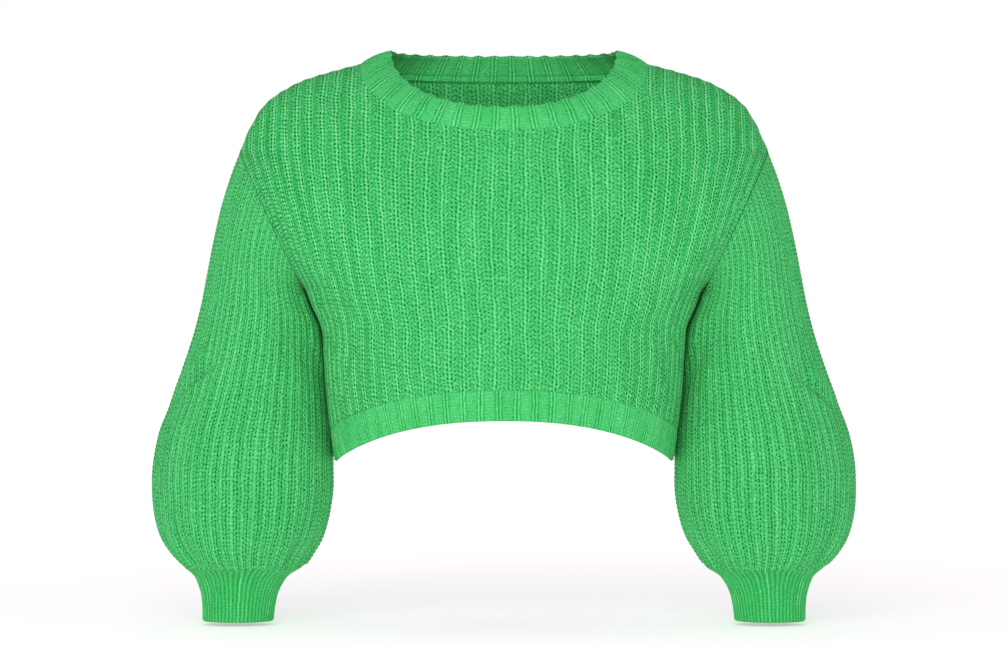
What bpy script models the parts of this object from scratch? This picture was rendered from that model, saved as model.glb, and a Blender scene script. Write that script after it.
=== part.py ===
"""Cropped knit sweater, filled out with no wearer: nine knitted pieces, each a wall of cloth.

Frame: metres, +Z up, the front faces -Y and the wearer's left is +X. The origin lies midway
between the two points where the neckband meets the shoulder seams.
Every length below is in millimetres and is turned to metres where a mesh is made.
"""

from collections import namedtuple

import bpy
import numpy as np

MM = 0.001

# Cloth and seams
WALL = 4.0
SEAM_GAP = 0.3
HALF_GAP = SEAM_GAP / 2

# Neck: where the neckband starts on the shoulder seam, how deep it dips, and its upper edge
NECK_HALF_WIDTH = 150.0
NECK_FRONT_DROP = 73.0
NECK_BACK_DROP = 15.0
BAND_TOP_HALF_WIDTH = 117.5
BAND_TOP_HEIGHT = 14.0
BAND_TOP_FRONT_DIP = 62.0
BAND_TOP_FRONT_DEPTH = 75.0
BAND_TOP_BACK_DEPTH = 71.0
BAND_BULGE = 2.5
NECK_ROUNDNESS = 2.1

# Body: hem, side seams and dropped armholes
SIDE_HEM_HEIGHT = -417.0
HEM_RISE = 44.0
HEM_RIB = 32.0
BODY_ROUNDNESS = 2.3
MEAN_DEPTH_SHARE = 0.6
SHOULDER_TIP = (277.0, -92.0)
UNDERARM = (209.0, -238.0)
ARMHOLE_HALF_DEPTH = 70.0
EDGE_PULL = 5

# Sleeves and cuffs
SLEEVE_END = -530.0
CUFF_END = -586.0
SLEEVE_CLEARANCE = 3.0
CLEARANCE_BUILD_UP = 25.0
CLEAR_BELOW_HEM = 20.0
CLEAR_ABOVE_UNDERARM = 2.0

# The cloth's edge at the neck points this far down, and towards the middle by this share.
NECK_AIM_DROP = 45.0
NECK_AIM_SHARE = 0.85

# Facets
NECK_COLUMNS = 7
SHOULDER_COLUMNS = 5
ARMHOLE_ROWS = 10
SIDE_ROWS = 6
BAND_ROWS = 3
HEM_ROWS = 2
SLEEVE_COLUMNS = 24
SLEEVE_ROWS = 20
CUFF_ROWS = 5
CURVE_SAMPLES = 600
HALVINGS = 50
SHARP_EDGE = 50.0
ROUNDING = 1e-9

SidePoint = namedtuple("SidePoint", "height half_width")
SIDE_SEAM = (
    SidePoint(-417, 177.5),
    SidePoint(-400, 180.0),
    SidePoint(-385, 182.0),
    SidePoint(-340, 187.0),
    SidePoint(-302, 189.5),
    SidePoint(-275, 192.5),
    SidePoint(-253, 202.5),
    SidePoint(-238, 209.0),
)

BodySection = namedtuple("BodySection", "height front_depth back_depth")
BODY_SECTIONS = (
    BodySection(-417, 105, 97),
    BodySection(-400, 107, 99),
    BodySection(-385, 109, 100),
    BodySection(-340, 115, 103),
    BodySection(-302, 119, 105),
    BodySection(-275, 121, 107),
    BodySection(-253, 121, 108),
    BodySection(-238, 120, 108),
    BodySection(-200, 116, 108),
    BodySection(-165, 110, 107),
    BodySection(-120, 99, 103),
    BodySection(-92, 91, 99),
    BodySection(-73, 83, 95),
    BodySection(-42, 66, 88),
    BodySection(-20, 50, 80),
    BodySection(0, 30, 73),
)

ShoulderPoint = namedtuple("ShoulderPoint", "out height")
SHOULDER_LINE = (
    ShoulderPoint(150, 0),
    ShoulderPoint(180, -8),
    ShoulderPoint(209, -17),
    ShoulderPoint(233, -29),
    ShoulderPoint(250, -42),
    ShoulderPoint(262, -59),
    ShoulderPoint(270, -75),
    ShoulderPoint(277, -92),
)

# Each ring of a sleeve runs from a point on its outer side to one on its inner side.
SleeveRing = namedtuple("SleeveRing", "outer_x outer_z inner_x inner_z half_depth back_shift")
SLEEVE_RINGS = (
    SleeveRing(277.0, -92, 209.0, -238, 70.0, 0),
    SleeveRing(288.0, -120, 207.5, -243, 68.5, 5),
    SleeveRing(298.0, -151, 205.0, -250, 67.0, 11),
    SleeveRing(306.5, -186, 200.0, -261, 65.0, 17),
    SleeveRing(313.5, -220, 192.0, -276, 64.0, 22),
    SleeveRing(320.5, -254, 188.0, -294, 64.5, 26),
    SleeveRing(329.0, -286, 186.0, -315, 67.0, 28),
    SleeveRing(340.0, -319, 184.0, -339, 71.0, 29),
    SleeveRing(352.5, -353, 181.5, -365, 75.5, 29),
    SleeveRing(364.5, -386, 180.0, -392, 79.5, 28),
    SleeveRing(371.0, -420, 180.0, -422, 82.0, 26),
    SleeveRing(372.0, -447, 180.0, -448, 82.5, 24),
    SleeveRing(369.5, -474, 184.0, -474, 80.5, 22),
    SleeveRing(362.5, -497, 191.5, -497, 76.0, 20),
    SleeveRing(351.5, -514, 202.5, -514, 69.0, 18),
    SleeveRing(336.0, -530, 214.0, -530, 58.0, 17),
)

CuffRing = namedtuple("CuffRing", "height centre half_width half_depth")
CUFF_RINGS = (
    CuffRing(-530.0, 275.0, 61.0, 58.0),
    CuffRing(-537.5, 276.8, 50.5, 46.0),
    CuffRing(-546.0, 278.0, 45.0, 39.5),
    CuffRing(-556.0, 278.9, 41.0, 36.0),
    CuffRing(-568.0, 279.5, 38.8, 34.0),
    CuffRing(-586.0, 280.5, 37.5, 32.5),
)

# The largest folds of a sleeve, as soft troughs. Places are shares of its length and of a turn.
SleeveFold = namedtuple("SleeveFold", "along around half_length half_turn depth slant")
SLEEVE_FOLDS = (
    SleeveFold(0.46, 0.96, 0.040, 0.10, 4.5, 0.55),
    SleeveFold(0.53, 0.08, 0.045, 0.12, 3.0, -0.35),
    SleeveFold(0.22, 0.36, 0.060, 0.07, 4.5, 0.50),
    SleeveFold(0.50, 0.62, 0.050, 0.13, 5.0, 0.30),
)

KNIT_COLOUR = (0.075, 0.557, 0.155, 1.0)
RIB_COLOUR = (0.085, 0.600, 0.175, 1.0)
KNIT_ROUGHNESS = 0.9


def clear_scene():
    for thing in list(bpy.data.objects):
        bpy.data.objects.remove(thing)


def knit_material(name, colour):
    material = bpy.data.materials.new(name)
    material.use_nodes = True
    shader = material.node_tree.nodes["Principled BSDF"]
    shader.inputs["Base Color"].default_value = colour
    shader.inputs["Roughness"].default_value = KNIT_ROUGHNESS
    shader.inputs["Metallic"].default_value = 0.0
    return material


def smooth_lookup(places, values, wanted):
    """A smooth curve through (place, value) rows, read at the wanted places."""
    places = np.asarray(places, float)
    values = np.asarray(values, float)
    if places[0] > places[-1]:
        places, values = places[::-1], values[::-1]
    slopes = np.gradient(values, places)
    wanted = np.clip(wanted, places[0], places[-1])
    row = np.clip(np.searchsorted(places, wanted) - 1, 0, len(places) - 2)
    step = places[row + 1] - places[row]
    t = (wanted - places[row]) / step
    start = (1 + 2 * t) * (1 - t) ** 2 * values[row] + t * (1 - t) ** 2 * step * slopes[row]
    end = t**2 * (3 - 2 * t) * values[row + 1] + t**2 * (t - 1) * step * slopes[row + 1]
    return start + end


def column(table, name):
    return [getattr(row, name) for row in table]


def oval(share, roundness):
    """Height of a rounded arch over the share (0 middle, 1 edge) of its half-width."""
    inside = 1 - np.clip(np.abs(share), 0, 1) ** roundness
    return inside ** (1 / roundness)


def unit(vectors):
    return vectors / np.linalg.norm(vectors, axis=-1, keepdims=True)


# ---------------------------------------------------------------- body


def armhole_depth(height):
    """Half the armhole's front-to-back opening at this height."""
    middle = (SHOULDER_TIP[1] + UNDERARM[1]) / 2
    reach = (SHOULDER_TIP[1] - UNDERARM[1]) / 2
    share = np.clip((height - middle) / reach, -1, 1)
    return ARMHOLE_HALF_DEPTH * np.sqrt(1 - share**2)


def body_edge(height):
    """Half-width of a body panel: its side seam, then its armhole seam."""
    side = smooth_lookup(column(SIDE_SEAM, "height"), column(SIDE_SEAM, "half_width"), height)
    rise = (height - UNDERARM[1]) / (SHOULDER_TIP[1] - UNDERARM[1])
    armhole = UNDERARM[0] + (SHOULDER_TIP[0] - UNDERARM[0]) * np.clip(rise, 0, 1)
    return np.where(height < UNDERARM[1], side, armhole)


def body_depth(height, side):
    name = "front_depth" if side < 0 else "back_depth"
    return smooth_lookup(column(BODY_SECTIONS, "height"), column(BODY_SECTIONS, name), height)


def section_half_width(height, side):
    """Half-width at which a section of the body, carried on past its seam, would close."""
    share = armhole_depth(height) / body_depth(height, side)
    through_armhole = body_edge(height) / oval(share, BODY_ROUNDNESS)
    shoulder = smooth_lookup(column(SHOULDER_LINE, "height"), column(SHOULDER_LINE, "out"), height)
    return np.where(height > SHOULDER_TIP[1], shoulder, through_armhole)


def arc_shares():
    """(across, out): even steps of cloth across a section, and how far out each one lies."""
    angle = np.linspace(0, np.pi / 2, CURVE_SAMPLES)
    out = np.sin(angle) ** (2 / BODY_ROUNDNESS)
    forward = MEAN_DEPTH_SHARE * np.cos(angle) ** (2 / BODY_ROUNDNESS)
    length = np.concatenate([[0], np.cumsum(np.hypot(np.diff(out), np.diff(forward)))])
    return length / length[-1], out


ARC_ACROSS, ARC_OUT = arc_shares()


def rib_line(across, height):
    """How far out the rib at this share across the panel lies at this height."""
    at_hem = SIDE_SEAM[0].half_width * np.interp(across, ARC_ACROSS, ARC_OUT)
    at_shoulder = SHOULDER_TIP[0] * across
    rise = (height - SIDE_HEM_HEIGHT) / (SHOULDER_TIP[1] - SIDE_HEM_HEIGHT)
    edge_rise = np.minimum(rise, 1)
    edge = SIDE_SEAM[0].half_width
    edge = edge + (SHOULDER_TIP[0] - edge) * edge_rise
    pull = (body_edge(height) - edge) * across**EDGE_PULL
    return at_hem + (at_shoulder - at_hem) * rise + pull


def body_points(across, height, side):
    """Points of the body's outer surface; across runs from -1 to 1."""
    out = rib_line(np.abs(across), height)
    depth = body_depth(height, side) * oval(
        out / section_half_width(height, side), BODY_ROUNDNESS
    )
    return np.stack([np.sign(across) * out, side * depth, height], axis=-1)


def body_side(depth, height):
    """How far out the body's surface lies at this depth, below the underarm."""
    side = np.where(depth < 0, -1, 1)
    front = body_depth(height, -1)
    back = body_depth(height, 1)
    reach = np.where(side < 0, front, back)
    width = body_edge(np.minimum(height, UNDERARM[1]))
    return width * oval(depth / reach, BODY_ROUNDNESS)


def hem_height(across):
    """Lower edge of the hem, which arches up at the front and at the back."""
    share = np.interp(np.abs(across), ARC_ACROSS, ARC_OUT)
    return SIDE_HEM_HEIGHT + HEM_RISE * oval(share, BODY_ROUNDNESS) ** 2


def neckline_height(out, side):
    drop = NECK_FRONT_DROP if side < 0 else NECK_BACK_DROP
    return -drop * oval(out / NECK_HALF_WIDTH, NECK_ROUNDNESS)


def rib_top(across, side):
    """Height at which a rib meets the neckline or the shoulder seam, by halving."""
    low = np.full(np.shape(across), UNDERARM[1])
    high = np.zeros(np.shape(across))
    for _ in range(HALVINGS):
        middle = (low + high) / 2
        out = rib_line(across, middle)
        past_neckline = middle > neckline_height(out, side)
        past_shoulder = out > section_half_width(middle, side)
        over = np.where(across < neck_share(), past_neckline, past_shoulder)
        high = np.where(over, middle, high)
        low = np.where(over, low, middle)
    return np.where(np.isclose(across, neck_share()), 0.0, low)


def neck_share():
    """Share across the panel of the rib that ends where the neckline meets the shoulder."""
    shares = np.linspace(0, 1, CURVE_SAMPLES)
    return np.interp(NECK_HALF_WIDTH, rib_line(shares, np.zeros(CURVE_SAMPLES)), shares)


def panel_columns():
    """Ribs that bound the facets, closer together towards the corner of the neckline."""
    neck = neck_share()
    around_neck = neck * np.sin(np.linspace(0, np.pi / 2, NECK_COLUMNS + 1))
    half = np.concatenate([around_neck, np.linspace(neck, 1, SHOULDER_COLUMNS + 1)[1:]])
    return np.concatenate([-half[:0:-1], half])


def rib_curve(across, side):
    """(length, points) of one rib from the top of the panel down to the hem seam."""
    top = SHOULDER_TIP[1] if abs(across) == 1 else float(rib_top(abs(across), side))
    bottom = float(hem_height(across)) + HEM_RIB
    eased = 1 - np.cos(np.linspace(0, np.pi / 2, CURVE_SAMPLES))
    height = top + (bottom - top) * eased
    points = body_points(np.full(CURVE_SAMPLES, across), height, side)
    steps = np.linalg.norm(np.diff(points, axis=0), axis=1)
    return np.concatenate([[0], np.cumsum(steps)]), points


def along_curve(length, points, wanted):
    return np.stack([np.interp(wanted, length, points[:, axis]) for axis in range(3)], axis=-1)


def row_shares(side):
    """Shares of a rib's length at which the rows lie: one row meets the underarm."""
    length, points = rib_curve(1.0, side)
    underarm = np.interp(-UNDERARM[1], -points[:, 2], length) / length[-1]
    upper = np.linspace(0, underarm, ARMHOLE_ROWS + 1)
    lower = np.linspace(underarm, 1, SIDE_ROWS + 1)
    return np.concatenate([upper, lower[1:]])


def armhole_frame():
    """(centre, up, outward) of the plane that the armhole seam lies in, on the +X side."""
    tip = np.array([SHOULDER_TIP[0], 0, SHOULDER_TIP[1]])
    underarm = np.array([UNDERARM[0], 0, UNDERARM[1]])
    up = unit(tip - underarm)
    return (tip + underarm) / 2, up, np.array([up[2], 0, -up[0]])


def to_armhole_centre(points):
    centre, _, _ = armhole_frame()
    mirrored = centre * np.where(points[..., :1] < 0, [-1, 1, 1], [1, 1, 1])
    return unit(mirrored - points)


def into_neck(points):
    """The way into the cloth at the neck seam, the same for the panels and the neckband."""
    aim = points * [NECK_AIM_SHARE, 0, 1] - [0, 0, NECK_AIM_DROP]
    return unit(aim - points)


def level_inward(row):
    """The way in, level, from each point of a row that runs along a level seam."""
    run = np.gradient(row, axis=0)
    across = unit(np.stack([-run[:, 1], run[:, 0], 0 * run[:, 0]], axis=-1))
    outward = np.sign(np.sum(across * row * [1, 1, 0], axis=-1, keepdims=True))
    return -across * outward


def inward_normals(grid, wraps):
    """The way in from each point of a grid of rows, towards the hollow of the garment."""
    if wraps:
        wide = np.concatenate([grid[:, -1:], grid, grid[:, :1]], axis=1)
        run = (wide[:, 2:] - wide[:, :-2]) / 2
    else:
        run = np.gradient(grid, axis=1)
    return unit(np.cross(run, np.gradient(grid, axis=0)))


def cloth_solid(name, outer, inward, wraps, material):
    """A wall of cloth: the outer rows, the same rows moved in, and a rim between them."""
    rows, columns = outer.shape[:2]
    inner = outer + inward * WALL
    points = np.concatenate([outer.reshape(-1, 3), inner.reshape(-1, 3)]) * MM
    under = rows * columns
    steps = columns if wraps else columns - 1

    def corner(row, step, layer):
        return layer * under + row * columns + step % columns

    def rim(start, end):
        """The face that closes the wall's edge between two neighbouring places."""
        return [corner(*start, 0), corner(*start, 1), corner(*end, 1), corner(*end, 0)]

    faces = []
    for row in range(rows - 1):
        for step in range(steps):
            quad = [(row, step), (row + 1, step), (row + 1, step + 1), (row, step + 1)]
            faces.append([corner(*place, 0) for place in quad])
            faces.append([corner(*place, 1) for place in quad[::-1]])
    for step in range(steps):
        faces.append(rim((0, step + 1), (0, step)))
        faces.append(rim((rows - 1, step), (rows - 1, step + 1)))
    if not wraps:
        for row in range(rows - 1):
            faces.append(rim((row, 0), (row + 1, 0)))
            faces.append(rim((row + 1, steps), (row, steps)))
    mesh = bpy.data.meshes.new(name)
    mesh.from_pydata(points.tolist(), [], faces)
    mesh.materials.append(material)
    mesh.shade_smooth()
    mesh.set_sharp_from_angle(angle=np.radians(SHARP_EDGE))
    piece = bpy.data.objects.new(name, mesh)
    SWEATER.objects.link(piece)
    return piece


def body_panel(name, side, material):
    """Front (side -1) or back (side 1), from the neckline and shoulder seams to the hem seam."""
    shares = row_shares(side)
    across = panel_columns()
    grid = []
    for share in across:
        length, points = rib_curve(share, side)
        grid.append(along_curve(length, points, shares * length[-1]))
    outer = np.stack(grid, axis=1)
    inward = inward_normals(outer, wraps=False) * -side

    on_neck = at_neck(across)
    seam = neck_seam(across[on_neck], side)
    outer[0, on_neck] = seam - HALF_GAP * neck_rise(seam, side)
    outer[0, ~on_neck, 1] = 0
    outer[-1, :, 2] += hem_gap(across, side)
    inward[0, on_neck] = into_neck(seam)
    inward[0, ~on_neck] = unit(inward[0, ~on_neck] * [1, 0, 1])
    inward[-1] = level_inward(outer[-1])
    _, _, outward = armhole_frame()
    for edge, hand in ((0, -1), (-1, 1)):
        rows = slice(0, ARMHOLE_ROWS + 1)
        seam = armhole_seam(outer[rows, edge, 2], side, hand)
        outer[rows, edge] = seam - HALF_GAP * outward * [hand, 1, 1]
        inward[rows, edge] = to_armhole_centre(seam)
        below = slice(ARMHOLE_ROWS + 1, None)
        inward[below, edge] = [-hand, 0, 0]
    outer[..., 1] += side * HALF_GAP
    return cloth_solid(name, flipped(outer, side), flipped(inward, side), False, material)


def flipped(grid, side):
    """Columns in the order that turns the faces of a front or back outward."""
    return grid if side < 0 else grid[:, ::-1]


def at_neck(across):
    """True for the ribs that end on the neck seam."""
    return np.abs(across) < neck_share() + ROUNDING


def neck_seam(across, side):
    """Points of the neck seam at the ribs that end on it."""
    points = body_points(across, rib_top(np.abs(across), side), side)
    corner = np.isclose(np.abs(across), neck_share())
    points[corner, 1] = 0
    return points


def armhole_seam(heights, side, hand):
    """Points of the armhole seam at these heights, on the wearer's left (hand 1) or right."""
    heights = np.clip(heights, UNDERARM[1], SHOULDER_TIP[1])
    heights[0] = SHOULDER_TIP[1]
    heights[-1] = UNDERARM[1]
    return np.stack([hand * body_edge(heights), side * armhole_depth(heights), heights], axis=-1)


def hem_gap(across, side):
    """How far each side of the sloping hem seam moves up or down to open the seam gap."""
    seam = body_points(across, hem_height(across) + HEM_RIB, side)
    run = unit(np.gradient(seam, axis=0))
    return HALF_GAP / np.sqrt(1 - run[:, 2] ** 2)


def hem_rib(name, side, material):
    """The ribbed band that is knitted on below a body panel."""
    across = panel_columns()
    low = hem_height(across)
    heights = np.linspace(low + HEM_RIB - hem_gap(across, side), low, HEM_ROWS + 1)
    outer = body_points(np.broadcast_to(across, heights.shape), heights, side)
    inward = inward_normals(outer, wraps=False) * -side
    inward[0] = level_inward(outer[0])
    for edge, hand in ((0, -1), (-1, 1)):
        inward[:, edge] = [-hand, 0, 0]
    outer[..., 1] += side * HALF_GAP
    return cloth_solid(name, flipped(outer, side), flipped(inward, side), False, material)


# ---------------------------------------------------------------- neckband


def band_top(seam, side):
    """The point of the neckband's upper edge over each point of the neck seam."""
    out = seam[:, 0] * BAND_TOP_HALF_WIDTH / NECK_HALF_WIDTH
    arch = oval(out / BAND_TOP_HALF_WIDTH, NECK_ROUNDNESS)
    if side < 0:
        height = BAND_TOP_HEIGHT - BAND_TOP_FRONT_DIP * arch
        return np.stack([out, -BAND_TOP_FRONT_DEPTH * arch, height], axis=-1)
    height = np.full_like(arch, BAND_TOP_HEIGHT)
    return np.stack([out, BAND_TOP_BACK_DEPTH * arch, height], axis=-1)


def neck_rise(seam, side):
    """The way the neckband rises from each point of the neck seam."""
    return unit(band_top(seam, side) - seam)


def neckband(name, material):
    """A ribbed ring that rises from the neck seam of both panels."""
    across = panel_columns()
    across = across[at_neck(across)]
    front = neck_seam(across, -1)
    back = neck_seam(across[::-1], 1)
    seam = np.concatenate([front[:-1], back[:-1]])
    top = np.concatenate([band_top(front, -1)[:-1], band_top(back, 1)[:-1]])
    rise = np.concatenate([neck_rise(front, -1)[:-1], neck_rise(back, 1)[:-1]])
    foot = seam + rise * HALF_GAP
    share = np.linspace(1, 0, BAND_ROWS + 1)[:, None, None]
    outer = foot + (top - foot) * share
    inward = inward_normals(outer, wraps=True)
    outer = outer - inward * BAND_BULGE * 4 * share * (1 - share)
    inward = inward_normals(outer, wraps=True)
    inward[-1] = into_neck(seam)
    return cloth_solid(name, outer, inward, True, material)


# ---------------------------------------------------------------- sleeves


def sleeve_centre_and_axes(place):
    """Ring centre, its half-axis towards the outer side and its half-depth, at row places."""
    rows = np.arange(len(SLEEVE_RINGS))
    read = {
        name: smooth_lookup(rows, column(SLEEVE_RINGS, name), place) for name in SleeveRing._fields
    }
    centre_x = (read["outer_x"] + read["inner_x"]) / 2
    centre_z = (read["outer_z"] + read["inner_z"]) / 2
    centre = np.stack([centre_x, read["back_shift"], centre_z], axis=-1)
    half = np.stack([read["outer_x"] - centre_x, 0 * centre_x, read["outer_z"] - centre_z], axis=-1)
    return centre, half, read["half_depth"]


def sleeve_rings(share):
    """Row places at even shares of the sleeve's length."""
    rows = np.linspace(0, len(SLEEVE_RINGS) - 1, CURVE_SAMPLES)
    centre, half, _ = sleeve_centre_and_axes(rows)
    steps = sum(
        np.linalg.norm(np.diff(line, axis=0), axis=1) for line in (centre + half, centre - half)
    )
    length = np.concatenate([[0], np.cumsum(steps)])
    return np.interp(share, length / length[-1], rows)


def fold_depth(along, around):
    """How far the sleeve's folds move its surface in, in millimetres."""
    depth = 0
    for fold in SLEEVE_FOLDS:
        turn = (around - fold.around + 0.5) % 1 - 0.5
        run = along - fold.along - fold.slant * turn
        depth = depth + fold.depth * np.exp(
            -((run / fold.half_length) ** 2) - (turn / fold.half_turn) ** 2
        )
    return depth


def sleeve_points(share, turn):
    """Points of the left sleeve's outer surface: share of its length, share of a turn."""
    centre, half, half_depth = sleeve_centre_and_axes(sleeve_rings(share))
    angle = 2 * np.pi * turn
    shrink = 1 - fold_depth(share, turn) / np.linalg.norm(half, axis=-1)
    out = half * (np.cos(angle) * shrink)[..., None]
    back = np.stack([0 * angle, half_depth * np.sin(angle) * shrink, 0 * angle], axis=-1)
    points = centre + out + back
    below = np.clip((UNDERARM[1] - points[..., 2]) / CLEARANCE_BUILD_UP, 0, 1)
    clear = SEAM_GAP + (SLEEVE_CLEARANCE - SEAM_GAP) * below
    body = body_side(points[..., 1], points[..., 2]) + clear
    over_hem = points[..., 2] > SIDE_HEM_HEIGHT - CLEAR_BELOW_HEM
    under_arm = points[..., 2] < UNDERARM[1] + CLEAR_ABOVE_UNDERARM
    beside_body = over_hem & under_arm
    points[..., 0] = np.where(beside_body, np.maximum(points[..., 0], body), points[..., 0])
    return points


def mirrored(grid, hand):
    return grid if hand > 0 else (grid * [-1, 1, 1])[:, ::-1]


def sleeve(name, hand, material):
    """Left sleeve (hand 1) or right (hand -1): a balloon from the armhole to the cuff seam."""
    turn = np.arange(SLEEVE_COLUMNS) / SLEEVE_COLUMNS
    share = np.linspace(0, 1, SLEEVE_ROWS + 1)
    outer = sleeve_points(*np.meshgrid(share, turn, indexing="ij"))
    centre, up, outward = armhole_frame()
    angle = 2 * np.pi * turn[:, None]
    reach = np.hypot(SHOULDER_TIP[0] - UNDERARM[0], SHOULDER_TIP[1] - UNDERARM[1]) / 2
    seam = centre + up * reach * np.cos(angle) + np.array([0, ARMHOLE_HALF_DEPTH, 0]) * np.sin(angle)
    outer[0] = seam + outward * HALF_GAP
    outer[-1, :, 2] = SLEEVE_END + HALF_GAP
    inward = inward_normals(outer, wraps=True)
    inward[0] = to_armhole_centre(seam)
    inward[-1] = unit((outer[-1].mean(axis=0) - outer[-1]) * [1, 1, 0])
    return cloth_solid(name, mirrored(outer, hand), mirrored(inward, hand), True, material)


def cuff(name, hand, material):
    """A ribbed cuff that draws the sleeve in and hangs open below it."""
    turn = np.arange(SLEEVE_COLUMNS) / SLEEVE_COLUMNS
    height = np.linspace(SLEEVE_END - HALF_GAP, CUFF_END, CUFF_ROWS + 1)
    read = {
        name: smooth_lookup(column(CUFF_RINGS, "height"), column(CUFF_RINGS, name), height)[:, None]
        for name in CuffRing._fields[1:]
    }
    angle = 2 * np.pi * turn[None, :]
    out = read["centre"] + read["half_width"] * np.cos(angle)
    back = SLEEVE_RINGS[-1].back_shift + read["half_depth"] * np.sin(angle)
    outer = np.stack([out, back, np.broadcast_to(height[:, None], out.shape)], axis=-1)
    inward = inward_normals(outer, wraps=True)
    inward[0] = unit((outer[0].mean(axis=0) - outer[0]) * [1, 1, 0])
    return cloth_solid(name, mirrored(outer, hand), mirrored(inward, hand), True, material)


clear_scene()
SWEATER = bpy.data.collections.new("cropped_knit_sweater")
bpy.context.scene.collection.children.link(SWEATER)
knit = knit_material("chunky_rib_knit", KNIT_COLOUR)
ribbing = knit_material("fine_ribbing", RIB_COLOUR)

body_panel("front_panel", -1, knit)
body_panel("back_panel", 1, knit)
hem_rib("front_hem_rib", -1, ribbing)
hem_rib("back_hem_rib", 1, ribbing)
neckband("neckband", ribbing)
sleeve("left_sleeve", 1, knit)
sleeve("right_sleeve", -1, knit)
cuff("left_cuff", 1, ribbing)
cuff("right_cuff", -1, ribbing)
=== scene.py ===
"""Cropped knit sweater: nine knitted pieces with ribs, stitches and creases, in a white studio.

Lengths are in millimetres until a mesh is made. Ribs run up the cloth and rows run across it.
Each mesh keeps its rib and row numbers as its UV map, and the yarn materials read them there.
"""

from collections import namedtuple

import bpy
import numpy as np
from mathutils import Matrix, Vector


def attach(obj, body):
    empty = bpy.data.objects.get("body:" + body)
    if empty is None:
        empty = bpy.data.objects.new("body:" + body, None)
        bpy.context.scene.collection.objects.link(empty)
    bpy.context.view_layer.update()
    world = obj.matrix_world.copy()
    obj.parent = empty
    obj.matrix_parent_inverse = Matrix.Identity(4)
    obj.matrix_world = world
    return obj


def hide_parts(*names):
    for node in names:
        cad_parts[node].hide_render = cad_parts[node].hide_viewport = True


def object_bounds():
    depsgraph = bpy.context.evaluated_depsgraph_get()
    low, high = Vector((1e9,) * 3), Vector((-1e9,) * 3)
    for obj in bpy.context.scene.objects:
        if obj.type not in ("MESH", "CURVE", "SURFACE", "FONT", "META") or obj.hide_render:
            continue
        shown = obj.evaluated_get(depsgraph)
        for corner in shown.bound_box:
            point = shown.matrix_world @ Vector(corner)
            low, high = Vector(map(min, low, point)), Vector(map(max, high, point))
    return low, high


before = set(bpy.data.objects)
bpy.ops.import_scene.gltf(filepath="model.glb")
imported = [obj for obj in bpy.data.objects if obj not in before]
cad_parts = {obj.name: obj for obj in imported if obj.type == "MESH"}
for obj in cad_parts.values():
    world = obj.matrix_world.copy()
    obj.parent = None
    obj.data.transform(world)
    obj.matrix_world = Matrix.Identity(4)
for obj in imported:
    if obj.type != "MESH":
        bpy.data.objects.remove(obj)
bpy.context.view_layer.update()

MM = 0.001

# ---------------------------------------------------------------- the shape of the garment

WALL = 4.0
# Half of the gap between the front and the back, and at the seam of a hem or a cuff.
HALF_GAP = 0.05
# How far the neckband reaches below its seam, and how near a seam the stitches fade out.
SEAM_OVERLAP = 1.2
SEAM_FADE = 3.0

NECK_HALF_WIDTH = 150.0
NECK_FRONT_DROP = 73.0
NECK_BACK_DROP = 15.0
BAND_TOP_HALF_WIDTH = 117.5
BAND_TOP_HEIGHT = 14.0
BAND_TOP_FRONT_DIP = 62.0
BAND_TOP_FRONT_DEPTH = 75.0
BAND_TOP_BACK_DEPTH = 71.0
BAND_BULGE = 2.5
# How far the neckband's edge rises and falls from rib to rib. Over 1, its ribs stand more upright.
BAND_SCALLOP = 0.9
BAND_RIBS_UPRIGHT = 1.1
NECK_ROUNDNESS = 2.1

SIDE_HEM_HEIGHT = -417.0
HEM_RISE = 44.0
HEM_RIB = 32.0
BODY_ROUNDNESS = 2.3
SHOULDER_TIP = (277.0, -92.0)
UNDERARM = (209.0, -238.0)
ARMHOLE_HALF_DEPTH = 70.0

SLEEVE_END = -530.0
CUFF_END = -586.0

# At the underarm a sleeve is a seam's gap off the body. Its clearance grows as it hangs lower.
SEAM_GAP = 0.3
SLEEVE_CLEARANCE = 0.9
CLEARANCE_BUILD_UP = 25.0
ABOVE_UNDERARM = 2.0
BELOW_HEM = 20.0
# A sleeve's cloth within this reach of the body leans towards it, for this fall below the underarm.
LEAN_REACH = 12.0
LEAN_FALL = 95.0
LEAN_EASE_IN = 6.0
LEAN_EASE_OUT = 40.0

SidePoint = namedtuple("SidePoint", "height half_width")
SIDE_SEAM = (
    SidePoint(-417, 177.5),
    SidePoint(-400, 180.0),
    SidePoint(-385, 182.0),
    SidePoint(-340, 187.0),
    SidePoint(-302, 189.5),
    SidePoint(-275, 192.5),
    SidePoint(-253, 202.5),
    SidePoint(-238, 209.0),
)

BodySection = namedtuple("BodySection", "height front_depth back_depth")
BODY_SECTIONS = (
    BodySection(-417, 105, 97),
    BodySection(-400, 107, 99),
    BodySection(-385, 109, 100),
    BodySection(-340, 115, 103),
    BodySection(-302, 119, 105),
    BodySection(-275, 121, 107),
    BodySection(-253, 121, 108),
    BodySection(-238, 120, 108),
    BodySection(-200, 116, 108),
    BodySection(-165, 110, 107),
    BodySection(-120, 99, 103),
    BodySection(-92, 91, 99),
    BodySection(-73, 83, 95),
    BodySection(-42, 66, 88),
    BodySection(-20, 50, 80),
    BodySection(0, 30, 73),
)

ShoulderPoint = namedtuple("ShoulderPoint", "out height")
SHOULDER_LINE = (
    ShoulderPoint(150, 0),
    ShoulderPoint(180, -8),
    ShoulderPoint(209, -17),
    ShoulderPoint(233, -29),
    ShoulderPoint(250, -42),
    ShoulderPoint(262, -59),
    ShoulderPoint(270, -75),
    ShoulderPoint(277, -92),
)

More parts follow.
